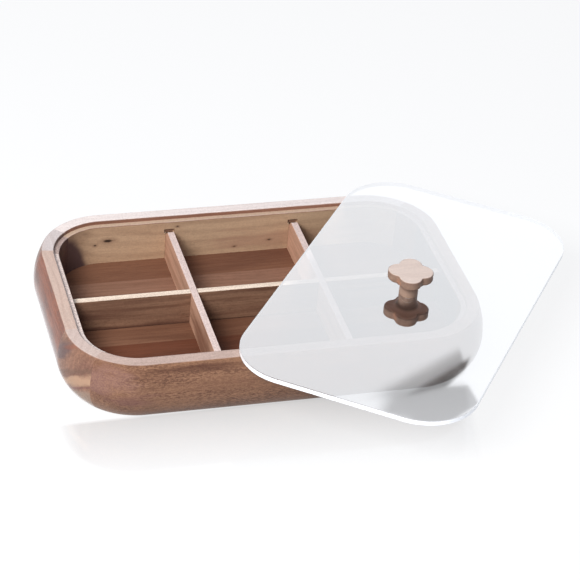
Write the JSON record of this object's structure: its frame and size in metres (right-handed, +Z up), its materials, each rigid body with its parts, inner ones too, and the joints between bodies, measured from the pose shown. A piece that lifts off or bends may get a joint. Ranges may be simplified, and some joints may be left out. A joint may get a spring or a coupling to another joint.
{
  "type": "divided serving tray with lid",
  "caption": "Low rounded wooden tray divided into compartments, with a clear drop-in lid that has a four-lobed wooden knob.",
  "frame": {"origin": "centre of the tray's flat underside, the face that it stands on", "axes": "+X along the tray's length, +Y from front to back, +Z up; the lid lies across the right front of the tray"},
  "size_m": [0.3994, 0.3024, 0.0709],
  "materials": {
    "rail_wood": "satin oiled acacia, long streaky grain",
    "end_rail_wood": "satin oiled acacia, red-brown",
    "corner_wood": "satin oiled acacia, dark heartwood with a pale sapwood streak",
    "floor_wood": "satin oiled acacia boards, each its own brown",
    "divider_wood": "satin oiled acacia, pale along the top edge",
    "knob_wood": "smooth pale wood, satin",
    "clear_acrylic": "clear acrylic sheet, polished faces and edges",
    "screw_steel": "zinc-plated steel, satin",
    "washer_fibre": "dark red-brown vulcanised fibre, matte"
  },
  "bodies": {
    "tray": {"front_rail": "rail_wood", "back_rail": "rail_wood", "left_end_rail": "end_rail_wood", "right_end_rail": "end_rail_wood", "front_left_corner": "corner_wood", "front_right_corner": "corner_wood", "back_left_corner": "corner_wood", "back_right_corner": "corner_wood", "floor_board_1": "floor_wood", "floor_board_2": "floor_wood", "floor_board_3": "floor_wood", "floor_board_4": "floor_wood", "floor_board_5": "floor_wood", "floor_board_6": "floor_wood", "long_divider": "divider_wood", "left_cross_divider": "divider_wood", "right_cross_divider": "divider_wood"},
    "lid": {"lid_panel": "clear_acrylic", "lid_knob": "knob_wood", "knob_screw": "screw_steel", "screw_washer": "washer_fibre"}
  },
  "joints": [
    {"name": "lid_lift", "type": "slide", "parent": "tray", "child": "lid", "axis": [0, 0, 1], "range_m": [0, 0.12]}
  ]
}
